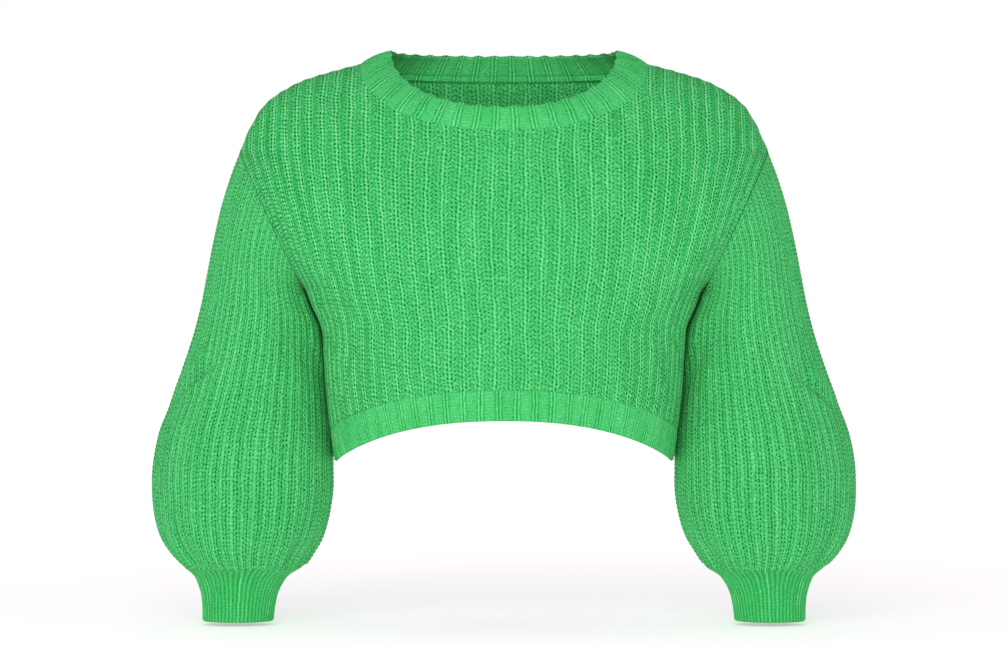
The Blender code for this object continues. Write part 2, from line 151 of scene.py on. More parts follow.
SleeveRing = namedtuple("SleeveRing", "outer_x outer_z inner_x inner_z half_depth back_shift")
SLEEVE_RINGS = (
    SleeveRing(277.0, -92, 209.0, -238, 70.0, 0),
    SleeveRing(288.0, -120, 207.5, -243, 68.5, 5),
    SleeveRing(298.0, -151, 205.0, -250, 67.0, 11),
    SleeveRing(306.5, -186, 200.0, -261, 65.0, 17),
    SleeveRing(313.5, -220, 192.0, -276, 64.0, 22),
    SleeveRing(320.5, -254, 188.0, -294, 64.5, 26),
    SleeveRing(329.0, -286, 186.0, -315, 67.0, 28),
    SleeveRing(340.0, -319, 184.0, -339, 71.0, 29),
    SleeveRing(352.5, -353, 181.5, -365, 75.5, 29),
    SleeveRing(364.5, -386, 180.0, -392, 79.5, 28),
    SleeveRing(371.0, -420, 180.0, -422, 82.0, 26),
    SleeveRing(372.0, -447, 180.0, -448, 82.5, 24),
    SleeveRing(369.5, -474, 184.0, -474, 80.5, 22),
    SleeveRing(362.5, -497, 191.5, -497, 76.0, 20),
    SleeveRing(351.5, -514, 202.5, -514, 69.0, 18),
    SleeveRing(336.0, -530, 214.0, -530, 58.0, 17),
)

CuffRing = namedtuple("CuffRing", "height centre half_width half_depth")
CUFF_RINGS = (
    CuffRing(-530.0, 275.0, 61.0, 58.0),
    CuffRing(-537.5, 276.8, 50.5, 46.0),
    CuffRing(-546.0, 278.0, 45.0, 39.5),
    CuffRing(-556.0, 278.9, 41.0, 36.0),
    CuffRing(-568.0, 279.5, 38.8, 34.0),
    CuffRing(-586.0, 280.5, 37.5, 32.5),
)

# ---------------------------------------------------------------- ribs and rows

# Ribs in half a body panel, in half a hem, and in a whole turn of the other pieces.
BODY_RIBS = 19
HEM_RIBS = 15.5
SLEEVE_RIBS = 58
NECK_RIBS = 40
CUFF_RIBS = 58
# How far the nearest leg lies from the middle of a panel, in ribs.
BODY_RIB_SHIFT = 0.34
HEM_RIB_SHIFT = -0.28
# Height of one row of stitches, and the mesh's rows in it.
KNIT_ROW = 4.58
RIBBING_ROW = 3.3
STEPS_IN_ROW = 3
# The ribs crowd towards the side seams. From a height up they even out, part of the way.
EVEN_SHARE_AT_SHOULDER = 0.7
EVENING_STARTS = -320.0
# How far the hem draws the ribs in, and how far up a panel that fades.
HEM_DRAW = 16.0
HEM_DRAW_REACH = 34.0
# How far a rib strays, in ribs, and how far below a panel's top it starts to settle.
WOBBLE = 0.07
WOBBLE_FADE = 30.0
# How unevenly the sleeves' ribs lie, and where in a turn they are widest.
SLEEVE_CROWDING = 0.17
WIDEST_SLEEVE_RIB = 0.62

# Places across one rib where the mesh has a column: the leg, its two grooves, then the wide part.
BODY_COLUMNS = (-0.36, -0.22, -0.125, 0.0, 0.125, 0.22, 0.36, 0.5)
SLEEVE_COLUMNS = (-0.30, -0.12, 0.12, 0.30, 0.5)
RIBBING_COLUMNS = (-0.40, -0.28, -0.19, -0.095, 0.0, 0.095, 0.19, 0.28, 0.40)
CUFF_COLUMNS = (-0.25, 0.0, 0.25, 0.5)

# No column inside a panel is nearer than this to its side edges, in ribs.
LEAST_EDGE_STEP = 0.03
# The inner surface has one column for each four of the outer one.
INNER_COLUMN_STEP = 4

CURVE_SAMPLES = 500
BAND_SAMPLES = 60
CUFF_SAMPLES = 120
HALVINGS = 40


def smooth_lookup(places, values, wanted):
    """A smooth curve through (place, value) rows, read at the wanted places."""
    places = np.asarray(places, float)
    values = np.asarray(values, float)
    if places[0] > places[-1]:
        places, values = places[::-1], values[::-1]
    slopes = np.gradient(values, places)
    wanted = np.clip(wanted, places[0], places[-1])
    row = np.clip(np.searchsorted(places, wanted) - 1, 0, len(places) - 2)
    step = places[row + 1] - places[row]
    t = (wanted - places[row]) / step
    start = (1 + 2 * t) * (1 - t) ** 2 * values[row] + t * (1 - t) ** 2 * step * slopes[row]
    end = t**2 * (3 - 2 * t) * values[row + 1] + t**2 * (t - 1) * step * slopes[row + 1]
    return start + end


def column(table, name):
    return [getattr(row, name) for row in table]


def at_height(table, name, height):
    return smooth_lookup(column(table, "height"), column(table, name), height)


def oval(share, roundness):
    """Height of a rounded arch over the share (0 middle, 1 edge) of its half-width."""
    inside = 1 - np.clip(np.abs(share), 0, 1) ** roundness
    return inside ** (1 / roundness)


def unit(vectors):
    return vectors / np.maximum(np.linalg.norm(vectors, axis=-1, keepdims=True), 1e-9)


def armhole_depth(height):
    """Half the armhole's front-to-back opening at this height."""
    middle = (SHOULDER_TIP[1] + UNDERARM[1]) / 2
    reach = (SHOULDER_TIP[1] - UNDERARM[1]) / 2
    share = np.clip((height - middle) / reach, -1, 1)
    return ARMHOLE_HALF_DEPTH * np.sqrt(1 - share**2)


def body_edge(height):
    """Half-width of a body panel: its side seam, then its armhole seam."""
    side = at_height(SIDE_SEAM, "half_width", height)
    rise = (height - UNDERARM[1]) / (SHOULDER_TIP[1] - UNDERARM[1])
    armhole = UNDERARM[0] + (SHOULDER_TIP[0] - UNDERARM[0]) * np.clip(rise, 0, 1)
    return np.where(height < UNDERARM[1], side, armhole)


def body_depth(height, side):
    return at_height(BODY_SECTIONS, "front_depth" if side < 0 else "back_depth", height)


def section_half_width(height, side):
    """Half-width at which a section of the body, carried on past its seam, would close."""
    share = armhole_depth(height) / body_depth(height, side)
    through_armhole = body_edge(height) / oval(share, BODY_ROUNDNESS)
    shoulder = at_height(SHOULDER_LINE, "out", height)
    return np.where(height > SHOULDER_TIP[1], shoulder, through_armhole)


def rib_spread(across):
    """How far out a rib lies at the hem, as a share: the ribs crowd towards the sides."""
    return np.sin(across * np.pi / 2)


def rib_line(across, height):
    """How far out the rib at this share across the panel lies at this height."""
    spread = rib_spread(across)
    rise = (height - EVENING_STARTS) / (SHOULDER_TIP[1] - EVENING_STARTS)
    evened = EVEN_SHARE_AT_SHOULDER * np.clip(rise, 0, 1) ** 1.5 * (across - spread)
    drawn = np.exp(-np.maximum(height - SIDE_HEM_HEIGHT, 0) / HEM_DRAW_REACH)
    drawn = HEM_DRAW * np.sin(np.pi * across) ** 2 * drawn
    return body_edge(height) * (spread + evened) - drawn


def body_points(across, height, side):
    """Points of the body's outer surface; across runs from -1 to 1."""
    out = rib_line(np.abs(across), height)
    depth = body_depth(height, side) * oval(
        out / section_half_width(height, side), BODY_ROUNDNESS
    )
    return np.stack([np.sign(across) * out, side * depth, height], axis=-1)


def body_side(depth, height):
    """How far out the body's surface lies at this depth, below the underarm."""
    reach = np.where(depth < 0, body_depth(height, -1), body_depth(height, 1))
    width = body_edge(np.minimum(height, UNDERARM[1]))
    return width * oval(depth / reach, BODY_ROUNDNESS)


def hem_height(across):
    """Lower edge of the hem, which arches up at the front and at the back, by repeated averages."""
    height = np.full(np.shape(across), SIDE_HEM_HEIGHT)
    for _ in range(HALVINGS):
        share = rib_line(np.abs(across), height) / body_edge(height)
        arch = SIDE_HEM_HEIGHT + HEM_RISE * oval(share, BODY_ROUNDNESS) ** 2
        height = (height + arch) / 2
    return height


def neckline_height(out, side):
    drop = NECK_FRONT_DROP if side < 0 else NECK_BACK_DROP
    return -drop * oval(out / NECK_HALF_WIDTH, NECK_ROUNDNESS)


def rib_top(across, side):
    """Height at which a rib meets the neckline or the shoulder seam, by halving."""
    low = np.full(np.shape(across), UNDERARM[1])
    high = np.zeros(np.shape(across))
    for _ in range(HALVINGS):
        middle = (low + high) / 2
        out = rib_line(across, middle)
        past_neckline = middle > neckline_height(out, side)
        past_shoulder = out > section_half_width(middle, side)
        over = np.where(across < NECK_SHARE, past_neckline, past_shoulder)
        high = np.where(over, middle, high)
        low = np.where(over, low, middle)
    top = np.where(np.isclose(across, NECK_SHARE), 0.0, low)
    return np.where(across >= 1, SHOULDER_TIP[1], top)


def neck_share():
    """Share across the panel of the rib that ends where the neckline meets the shoulder."""
    shares = np.linspace(0, 1, CURVE_SAMPLES)
    return np.interp(NECK_HALF_WIDTH, rib_line(shares, np.zeros(CURVE_SAMPLES)), shares)


NECK_SHARE = neck_share()


# ---------------------------------------------------------------- creases

# A crease is a soft trough (depth below zero) or ridge. On the body its place is in millimetres
# out from the middle and up; on a sleeve it is a share of a turn and of the length from the cuff.
BodyCrease = namedtuple("BodyCrease", "out height half_length half_width lean depth")
FRONT_CREASES = (
    BodyCrease(196, -160, 46, 6.0, 17, -3.2),
    BodyCrease(182, -190, 38, 5.0, 20, -2.4),
    BodyCrease(207, -188, 30, 5.5, 14, 1.8),
    BodyCrease(168, -214, 40, 7.0, 32, -2.0),
    BodyCrease(172, -262, 52, 9.0, 58, -2.6),
    BodyCrease(150, -292, 44, 8.0, 66, -1.6),
    BodyCrease(-203, -158, 50, 6.0, -19, -2.4),
    BodyCrease(-186, -206, 42, 6.5, -26, -1.8),
    BodyCrease(-170, -254, 50, 9.0, -55, -2.2),
    BodyCrease(-158, -300, 36, 8.0, -70, -1.3),
    BodyCrease(60, -236, 90, 26, 82, -1.2),
    BodyCrease(-74, -262, 80, 24, -78, -1.0),
    BodyCrease(20, -318, 70, 20, 88, 1.0),
    BodyCrease(-150, -92, 48, 12, -38, 1.5),
    BodyCrease(158, -86, 44, 11, 41, 1.2),
)
BACK_CREASES = (
    BodyCrease(192, -170, 52, 7.0, 15, -2.8),
    BodyCrease(176, -215, 44, 7.0, 30, -2.2),
    BodyCrease(160, -272, 54, 10, 60, -2.4),
    BodyCrease(-188, -166, 46, 7.0, -20, -3.0),
    BodyCrease(-172, -228, 50, 8.0, -38, -2.0),
    BodyCrease(-150, -286, 46, 10, -64, -1.8),
    BodyCrease(-40, -210, 110, 24, 80, -1.8),
    BodyCrease(70, -262, 84, 22, -80, -1.4),
    BodyCrease(10, -300, 96, 24, 86, -1.6),
    BodyCrease(128, -104, 50, 14, 50, 1.4),
    BodyCrease(-120, -98, 56, 15, -46, 1.6),
)

SleeveCrease = namedtuple("SleeveCrease", "along around half_length half_turn slant depth")
LEFT_CREASES = (
    SleeveCrease(0.500, 0.895, 0.032, 0.052, -1.05, -4.6),
    SleeveCrease(0.497, 0.893, 0.013, 0.040, -1.05, -1.8),
    SleeveCrease(0.565, 0.872, 0.045, 0.017, 0.00, -3.4),
    SleeveCrease(0.525, 0.915, 0.024, 0.030, -0.60, 2.0),
    SleeveCrease(0.472, 0.888, 0.016, 0.036, -1.00, 3.0),
    SleeveCrease(0.470, 0.060, 0.030, 0.060, 0.35, -2.2),
    SleeveCrease(0.780, 0.700, 0.050, 0.050, 0.90, -2.6),
    SleeveCrease(0.700, 0.640, 0.060, 0.050, 1.10, -2.4),
    SleeveCrease(0.600, 0.600, 0.060, 0.060, 1.00, -2.6),
    SleeveCrease(0.500, 0.660, 0.050, 0.090, 0.45, -1.8),
    SleeveCrease(0.340, 0.780, 0.045, 0.100, 0.35, -1.4),
    SleeveCrease(0.560, 0.220, 0.045, 0.120, -0.30, -4.0),
    SleeveCrease(0.640, 0.320, 0.055, 0.080, -0.70, -3.0),
    SleeveCrease(0.430, 0.300, 0.045, 0.120, 0.25, -2.4),
    SleeveCrease(0.240, 0.120, 0.040, 0.110, -0.20, -1.6),
)
RIGHT_CREASES = (
    SleeveCrease(0.532, 0.893, 0.032, 0.054, -0.95, -5.2),
    SleeveCrease(0.530, 0.891, 0.013, 0.042, -0.95, -1.8),
    SleeveCrease(0.505, 0.885, 0.016, 0.038, -0.95, 3.4),
    SleeveCrease(0.565, 0.915, 0.022, 0.034, -0.80, 1.6),
    SleeveCrease(0.610, 0.860, 0.040, 0.016, 0.00, -2.2),
    SleeveCrease(0.470, 0.070, 0.040, 0.070, 0.30, -2.6),
    SleeveCrease(0.720, 0.660, 0.060, 0.060, 0.85, -2.4),
    SleeveCrease(0.620, 0.620, 0.050, 0.060, 0.95, -2.0),
    SleeveCrease(0.520, 0.700, 0.045, 0.100, 0.40, -1.6),
    SleeveCrease(0.540, 0.300, 0.050, 0.140, -0.34, -4.2),
    SleeveCrease(0.640, 0.360, 0.060, 0.070, -0.60, -2.8),
    SleeveCrease(0.380, 0.220, 0.045, 0.120, 0.30, -2.2),
    SleeveCrease(0.220, 0.860, 0.040, 0.100, -0.30, -1.2),
)

# Gathers above a cuff: how many fall in a turn, where they start, and how deep they are.
Gather = namedtuple("Gather", "count start depth")
LEFT_GATHERS = (Gather(11, 0.10, 1.9), Gather(17, 0.57, 1.3), Gather(6, 0.31, 1.2))
RIGHT_GATHERS = (Gather(12, 0.43, 1.8), Gather(19, 0.17, 1.2), Gather(7, 0.72, 1.3))
GATHER_REACH = 46.0
GATHER_EASE_IN = 8.0

# The ridge and the trough inside the neckband, where it is linked to the panels.
LinkingFold = namedtuple("LinkingFold", "up half_width depth")
LINKING_FOLDS = (LinkingFold(7.6, 1.1, 1.6), LinkingFold(3.2, 2.6, -3.4))


def body_creases(points, table):
    """How far the creases move each point of a panel out, in millimetres."""
    moved = np.zeros(points.shape[:-1])
    for crease in table:
        lean = np.radians(crease.lean)
        right = points[..., 0] - crease.out
        up = points[..., 2] - crease.height
        along = up * np.cos(lean) + right * np.sin(lean)
        beside = right * np.cos(lean) - up * np.sin(lean)
        fade = (along / crease.half_length) ** 2 + (beside / crease.half_width) ** 2
        moved += crease.depth * np.exp(-fade)
    return moved


def sleeve_creases(along, around, table):
    moved = np.zeros(np.broadcast(along, around).shape)
    for crease in table:
        turn = (around - crease.around + 0.5) % 1 - 0.5
        run = along - crease.along - crease.slant * turn
        fade = (run / crease.half_length) ** 2 + (turn / crease.half_turn) ** 2
        moved += crease.depth * np.exp(-fade)
    return moved


def gathers(length, around, table):
    """Soft folds that rise from the cuff seam and die out up the sleeve."""
    folded = sum(g.depth * np.sin(2 * np.pi * (g.count * around + g.start)) for g in table)
    near = np.exp(-((length / GATHER_REACH) ** 2)) * np.clip(length / GATHER_EASE_IN, 0, 1)
    return folded * near


# ---------------------------------------------------------------- stitches in the mesh


def bump_at(place, middle, half_width):
    return np.exp(-(((place - middle) / half_width) ** 2))


def knit_relief(rib, row):
    """Chunky rib: a narrow leg, a groove on each side of it, then a wide rounded part."""
    place = rib - np.round(rib)
    off = np.abs(place)
    wave = np.cos(2 * np.pi * row)
    leg = 0.5 * bump_at(off, 0, 0.08)
    sunk = 0.75 * bump_at(off, 0.125, 0.05) * (0.6 + 0.4 * wave)
    risen = 0.75 * np.sin(np.pi * np.clip((off - 0.125) / 0.75, 0, 0.5)) ** 0.7
    bars = 0.2 * np.cos(2 * np.pi * (row + 0.35 * np.cos(2 * np.pi * place)))
    return leg - sunk + risen - 0.5 + bars * (off > 0.145)


def sleeve_relief(rib, row):
    """The sleeves' rib is narrow and round, because it isn't stretched over a body."""
    off = np.abs(rib - np.round(rib))
    bars = 0.3 * np.cos(2 * np.pi * (row + 0.35 * np.cos(2 * np.pi * off)))
    return 0.6 * np.cos(2 * np.pi * off) - 0.6 + bars * (off < 0.4)


def ribbing_relief(rib, row):
    """Ribbing: two fine ridges with a groove between them, and flat cloth to the next pair."""
    off = np.abs(rib - np.round(rib))
    wave = np.cos(2 * np.pi * row)
    pair = 0.6 * bump_at(off, 0.095, 0.05) - 0.35 * bump_at(off, 0, 0.05)
    return pair - 0.3 * bump_at(off, 0.19, 0.06) + 0.08 * wave * (off > 0.2) - 0.3


def cuff_relief(rib, row):
    off = np.abs(rib - np.round(rib))
    return 0.3 * np.cos(2 * np.pi * off) + 0.06 * np.cos(2 * np.pi * row) - 0.3


def rib_columns(first, last, places):
    """Rib numbers of the mesh's columns from the first to the last rib number."""
    whole = np.arange(np.floor(min(first, last)) - 1, np.ceil(max(first, last)) + 2)
    every = np.sort((whole[:, None] + np.array(places)[None, :]).ravel())
    low, high = min(first, last), max(first, last)
    inside = every[(every > low + LEAST_EDGE_STEP) & (every < high - LEAST_EDGE_STEP)]
    found = np.concatenate([[low], inside, [high]])
    return found if last > first else found[::-1]


def wrapped_columns(ribs, places):
    """Rib numbers round a tube, with the place where it closes left out."""
    every = np.arange(ribs)[:, None] + np.array(places)[None, :]
    return np.sort(every.ravel() % ribs)


# ---------------------------------------------------------------- from curves to cloth

# Cloth: the ribs' curves and numbers, and whether they go round a tube. Surface: a grid of point
# numbers, the length reached up the rib at each, the cloth's columns used, and each one's last row.
Cloth = namedtuple("Cloth", "curves ribs wraps")
Knit = namedtuple("Knit", "relief row_size inner_rows")
Surface = namedtuple("Surface", "points uv number reached columns last")


def lengths_of(curves):
    steps = np.linalg.norm(np.diff(curves, axis=0), axis=-1)
    return np.concatenate([np.zeros((1, curves.shape[1])), np.cumsum(steps, axis=0)])


def outward_normals(curves, wraps):
    if wraps:
        wide = np.concatenate([curves[:, -1:], curves, curves[:, :1]], axis=1)
        run = (wide[:, 2:] - wide[:, :-2]) / 2
    else:
        run = np.gradient(curves, axis=1)
    return unit(np.cross(run, np.gradient(curves, axis=0)))


def along_ribs(length, values, wanted):
    """Values of every rib's curve read at the wanted lengths up that rib."""
    found = np.empty(wanted.shape + (3,))
    for rib in range(wanted.shape[1]):
        for axis in range(3):
            found[:, rib, axis] = np.interp(wanted[:, rib], length[:, rib], values[:, rib, axis])
    return found


def zipped(first, first_place, second, second_place):
    """Triangles that join two chains of points, each with its place along the seam."""
    faces = []
    i = j = 0
    while i < len(first) - 1 or j < len(second) - 1:
        first_left = i < len(first) - 1
        second_left = j < len(second) - 1
        if not second_left or (first_left and first_place[i + 1] <= second_place[j + 1]):
            faces.append((first[i], second[j], first[i + 1]))
            i += 1
        else:
            faces.append((first[i], second[j], second[j + 1]))
            j += 1
    return np.array(faces)


def grid_faces(index, wraps):
    """Two triangles for each square of a grid of point numbers, but none with two corners alike."""
    beyond = np.roll(index, -1, axis=1)
    if not wraps:
        index, beyond = index[:, :-1], beyond[:, :-1]
    corners = [part.ravel() for part in (index[:-1], beyond[:-1], beyond[1:], index[1:])]
    lower = np.stack([corners[0], corners[1], corners[2]], axis=1)
    upper = np.stack([corners[0], corners[2], corners[3]], axis=1)
    faces = np.concatenate([lower, upper])
    alike = (
        (faces[:, 0] == faces[:, 1]) | (faces[:, 1] == faces[:, 2]) | (faces[:, 2] == faces[:, 0])
    )
    return faces[~alike]


def rim_round(distance):
    """How far a free edge's surface rolls in, so that the edge of the cloth is round."""
    radius = WALL / 2
    short = np.clip(radius - distance, 0, radius)
    return radius - np.sqrt(radius**2 - short**2)


def stitched_surface(cloth, knit, outside, free_ends):
    """The fine outer surface; outside gives how far its creases move it out."""
    length = lengths_of(cloth.curves)
    total = length[-1]
    step = knit.row_size / STEPS_IN_ROW
    last = np.ceil(total / step - 0.25).astype(int)
    rows = np.arange(last.max() + 1)[:, None]
    reached = np.where(rows >= last, total, rows * step)

    points = along_ribs(length, cloth.curves, reached)
    normals = outward_normals(cloth.curves, cloth.wraps)
    out = unit(along_ribs(length, normals, reached))
    ribs = np.broadcast_to(cloth.ribs, reached.shape)
    moved = knit.relief(ribs, reached / knit.row_size) + outside(points, reached, ribs)
    for free, distance in zip(free_ends, (reached, total - reached)):
        if free:
            moved = moved - rim_round(distance)
        else:
            moved = moved * (1 - np.exp(-((distance / SEAM_FADE) ** 2)))
    points = points + out * moved[..., None]

    kept = rows <= last
    number = np.cumsum(kept.ravel()).reshape(kept.shape) - 1
    number = np.take_along_axis(number, np.minimum(rows, last), axis=0)
    uv = np.stack([ribs, reached / knit.row_size], axis=-1)
    columns = np.arange(len(cloth.ribs))
    return Surface(points[kept], uv[kept], number, reached, columns, last)


def plain_surface(cloth, knit, inside, free_ends, first_number):
    """The plainer inner surface, a wall's thickness in; inside gives how far it moves out."""
    length = lengths_of(cloth.curves)
    normals = outward_normals(cloth.curves, cloth.wraps)
    pick = np.arange(0, len(cloth.ribs), INNER_COLUMN_STEP)
    if not cloth.wraps:
        pick = np.append(pick[pick < len(cloth.ribs) - 2], len(cloth.ribs) - 1)
    total = length[-1][pick]
    reached = np.linspace(0, 1, knit.inner_rows + 1)[:, None] * total

    points = along_ribs(length[:, pick], cloth.curves[:, pick], reached)
    out = unit(along_ribs(length[:, pick], normals[:, pick], reached))
    ribs = np.broadcast_to(cloth.ribs[pick], reached.shape)
    moved = inside(points, reached, ribs) - WALL
    for free, distance in zip(free_ends, (reached, total - reached)):
        moved = moved + free * rim_round(distance)
    points = points + out * moved[..., None]

    number = first_number + np.arange(reached.size).reshape(reached.shape)
    uv = np.stack([ribs, reached / knit.row_size], axis=-1).reshape(-1, 2)
    last = np.full(len(pick), knit.inner_rows)
    return Surface(points.reshape(-1, 3), uv, number, reached, pick, last)


def side_edge(surface, edge):
    end = surface.last[edge] + 1
    return surface.number[:end, edge], surface.reached[:end, edge]


def rims(cloth, outer, inner):
    """Triangles that join the outer surface to the inner one at the ends and the side edges."""
    strips = []
    for end in (0, -1):
        first, second = outer.number[end], inner.number[end]
        first_place, second_place = outer.columns, inner.columns
        if cloth.wraps:
            first, second = np.append(first, first[0]), np.append(second, second[0])
            first_place = np.append(first_place, len(cloth.ribs))
            second_place = np.append(second_place, len(cloth.ribs))
        strip = zipped(first, first_place, second, second_place)
        strips.append(strip if end == 0 else strip[:, ::-1])
    if cloth.wraps:
        return strips
    for edge in (0, -1):
        strip = zipped(*side_edge(outer, edge), *side_edge(inner, edge))
        strips.append(strip[:, ::-1] if edge == 0 else strip)
    return strips


def cloth_mesh(name, cloth, knit, outside, inside, free_ends):
    """A knitted piece: an outer and an inner surface, joined by rims.

    free_ends says whether the lower and the upper end are free edges, which are rounded.
    """
    outer = stitched_surface(cloth, knit, outside, free_ends)
    inner = plain_surface(cloth, knit, inside, free_ends, len(outer.points))
    faces = [grid_faces(outer.number, cloth.wraps), grid_faces(inner.number, cloth.wraps)[:, ::-1]]
    faces = np.concatenate(faces + rims(cloth, outer, inner))
    vertices = np.concatenate([outer.points, inner.points]) * MM
    return made_object(name, vertices, faces, np.concatenate([outer.uv, inner.uv]), cloth)


def placed(name, data):
    made = bpy.data.objects.new(name, data)
    bpy.context.scene.collection.objects.link(made)
    return made


def made_object(name, vertices, faces, uv, cloth):
    """An object with these triangles; uv holds each point's rib and row."""
    mesh = bpy.data.meshes.new(name)
    mesh.vertices.add(len(vertices))
    mesh.vertices.foreach_set("co", vertices.astype(np.float32).ravel())
    mesh.loops.add(faces.size)
    mesh.loops.foreach_set("vertex_index", faces.astype(np.int32).ravel())
    mesh.polygons.add(len(faces))
    mesh.polygons.foreach_set("loop_start", np.arange(0, faces.size, 3, dtype=np.int32))
    mesh.update(calc_edges=True)
    corners = uv[faces]
    if cloth.wraps:
        around = round(np.ptp(cloth.ribs))
        behind = corners[:, :, 0].max(axis=1, keepdims=True) - corners[:, :, 0] > around / 2
        corners[:, :, 0] += around * behind
    layer = mesh.uv_layers.new(name="ribs_and_rows")
    layer.data.foreach_set("uv", corners.astype(np.float32).ravel())
    mesh.shade_smooth()
    mesh.validate()
    return placed(name, mesh)


# ---------------------------------------------------------------- the nine pieces


def seam_shift(points, side):
    points = points.copy()
    points[..., 1] += side * HALF_GAP
    return points


def wobble(ribs, height):
    """How many ribs a rib strays sideways, since no knitted rib hangs quite straight."""
    slow = np.sin(height / 57 - 0.31 * ribs + 1)
    quick = np.sin(height / 26 + 0.53 * ribs)
    return WOBBLE * (slow + 0.6 * quick)


def panel_cloth(side):
    """The ribs of the front (side -1) or the back (side 1), from the hem seam up."""
    places = np.array(BODY_COLUMNS) + BODY_RIB_SHIFT
    ribs = rib_columns(side * BODY_RIBS, -side * BODY_RIBS, places)
    across = ribs / BODY_RIBS
    top = rib_top(np.abs(across), side)
    bottom = hem_height(across) + HEM_RIB + HALF_GAP
    eased = np.sin(np.linspace(0, np.pi / 2, CURVE_SAMPLES))[:, None]
    height = bottom + (top - bottom) * eased
    steady = (1 - across**6) * np.clip((top - height) / WOBBLE_FADE, 0, 1)
    strayed = across + wobble(ribs, height) * steady / BODY_RIBS
    curves = seam_shift(body_points(strayed, height, side), side)
    return Cloth(curves, ribs - BODY_RIB_SHIFT, False)


def hem_cloth(side):
    places = np.array(RIBBING_COLUMNS) + HEM_RIB_SHIFT
    ribs = rib_columns(side * HEM_RIBS, -side * HEM_RIBS, places)
    across = ribs / HEM_RIBS
    low = hem_height(across)
    share = np.linspace(0, 1, BAND_SAMPLES)[:, None]
    height = low + (HEM_RIB - HALF_GAP) * share
    curves = seam_shift(body_points(np.broadcast_to(across, height.shape), height, side), side)
    return Cloth(curves, ribs - HEM_RIB_SHIFT, False)


def neck_seam(across, side):
    """Points of the neck seam at the shares across a panel that end on it."""
    points = body_points(across, rib_top(np.abs(across), side), side)
    points[np.isclose(np.abs(across), NECK_SHARE), 1] = 0
    return points


def band_top(seam, side):
    """The point of the neckband's upper edge over each point of the neck seam."""
    share = seam[:, 0] / NECK_HALF_WIDTH
    share = share * (BAND_RIBS_UPRIGHT + (1 - BAND_RIBS_UPRIGHT) * share**2)
    out = share * BAND_TOP_HALF_WIDTH
    arch = oval(out / BAND_TOP_HALF_WIDTH, NECK_ROUNDNESS)
    dip = BAND_TOP_FRONT_DIP if side < 0 else 0
    depth = BAND_TOP_FRONT_DEPTH if side < 0 else BAND_TOP_BACK_DEPTH
    return np.stack([out, side * depth * arch, BAND_TOP_HEIGHT - dip * arch], axis=-1)


def neckband_cloth():
    """The neckband's lines, which rise from the neck seam and lean in towards its upper edge."""
    shares = NECK_SHARE * np.sin(np.linspace(-np.pi / 2, np.pi / 2, CURVE_SAMPLES))
    seams, tops = [], []
    for side, run in ((-1, shares), (1, shares[::-1])):
        seam = neck_seam(run, side)
        seams.append(seam[:-1])
        tops.append(band_top(seam, side)[:-1])
    seam, top = np.concatenate(seams), np.concatenate(tops)
    closed = np.concatenate([seam, seam[:1]])
    steps = np.linalg.norm(np.diff(closed, axis=0), axis=1)
    length = np.concatenate([[0], np.cumsum(steps)])
    ribs = wrapped_columns(NECK_RIBS, RIBBING_COLUMNS)
    wanted = ribs / NECK_RIBS * length[-1]
    feet, heads = [
        np.stack(
            [np.interp(wanted, length, np.append(line[:, k], line[0, k])) for k in range(3)], -1
        )
        for line in (seam, top)
    ]
    rise = unit(heads - feet)
    feet = feet - rise * SEAM_OVERLAP
    heads = heads + rise * BAND_SCALLOP * np.cos(2 * np.pi * ribs)[:, None]
    share = np.linspace(0, 1, BAND_SAMPLES)[:, None, None]
    curves = feet + (heads - feet) * share
    curves = curves + outward_normals(curves, True) * BAND_BULGE * 4 * share * (1 - share)
    return Cloth(curves, ribs, True)


def sleeve_centre_and_axes(place):
    """Ring centre, its half-axis towards the outer side and its half-depth, at row places."""
    rows = np.arange(len(SLEEVE_RINGS))
    read = {
        name: smooth_lookup(rows, column(SLEEVE_RINGS, name), place) for name in SleeveRing._fields
    }
    centre_x = (read["outer_x"] + read["inner_x"]) / 2
    centre_z = (read["outer_z"] + read["inner_z"]) / 2
    centre = np.stack([centre_x, read["back_shift"], centre_z], axis=-1)
    half = np.stack([read["outer_x"] - centre_x, 0 * centre_x, read["outer_z"] - centre_z], axis=-1)
    return centre, half, read["half_depth"]


def sleeve_rings(share):
    """Row places at even shares of the sleeve's length."""
    rows = np.linspace(0, len(SLEEVE_RINGS) - 1, CURVE_SAMPLES)
    centre, half, _ = sleeve_centre_and_axes(rows)
    steps = sum(
        np.linalg.norm(np.diff(line, axis=0), axis=1) for line in (centre + half, centre - half)
    )
    length = np.concatenate([[0], np.cumsum(steps)])
    return np.interp(share, length / length[-1], rows)


def sleeve_points(share, turn):
    """Points of the left sleeve's outer surface: share of its length, share of a turn."""
    centre, half, half_depth = sleeve_centre_and_axes(sleeve_rings(share))
    angle = 2 * np.pi * turn
    out = half * np.cos(angle)[..., None]
    back = np.stack([0 * angle, half_depth * np.sin(angle), 0 * angle], axis=-1)
    return centre + out + back


def clear_of_body(points):
    """The sleeve's inner side lies a little off the body below the underarm, and leans on it."""
    height = points[..., 2]
    fall = UNDERARM[1] - height
    grown = np.clip(fall / CLEARANCE_BUILD_UP, 0, 1)
    clear = SEAM_GAP + (SLEEVE_CLEARANCE - SEAM_GAP) * grown
    body = body_side(points[..., 1], height) + clear
    out = np.maximum(points[..., 0], body)
    lean = np.clip(fall / LEAN_EASE_IN, 0, 1) * np.clip((LEAN_FALL - fall) / LEAN_EASE_OUT, 0, 1)
    reach = np.maximum(LEAN_REACH * lean, 1e-6)
    off = out - body
    out = np.where(off < reach, body + off * off / reach, out)
    near = (height > SIDE_HEM_HEIGHT - BELOW_HEM) & (height < UNDERARM[1] + ABOVE_UNDERARM)
    points[..., 0] = np.where(near, out, points[..., 0])
    return points


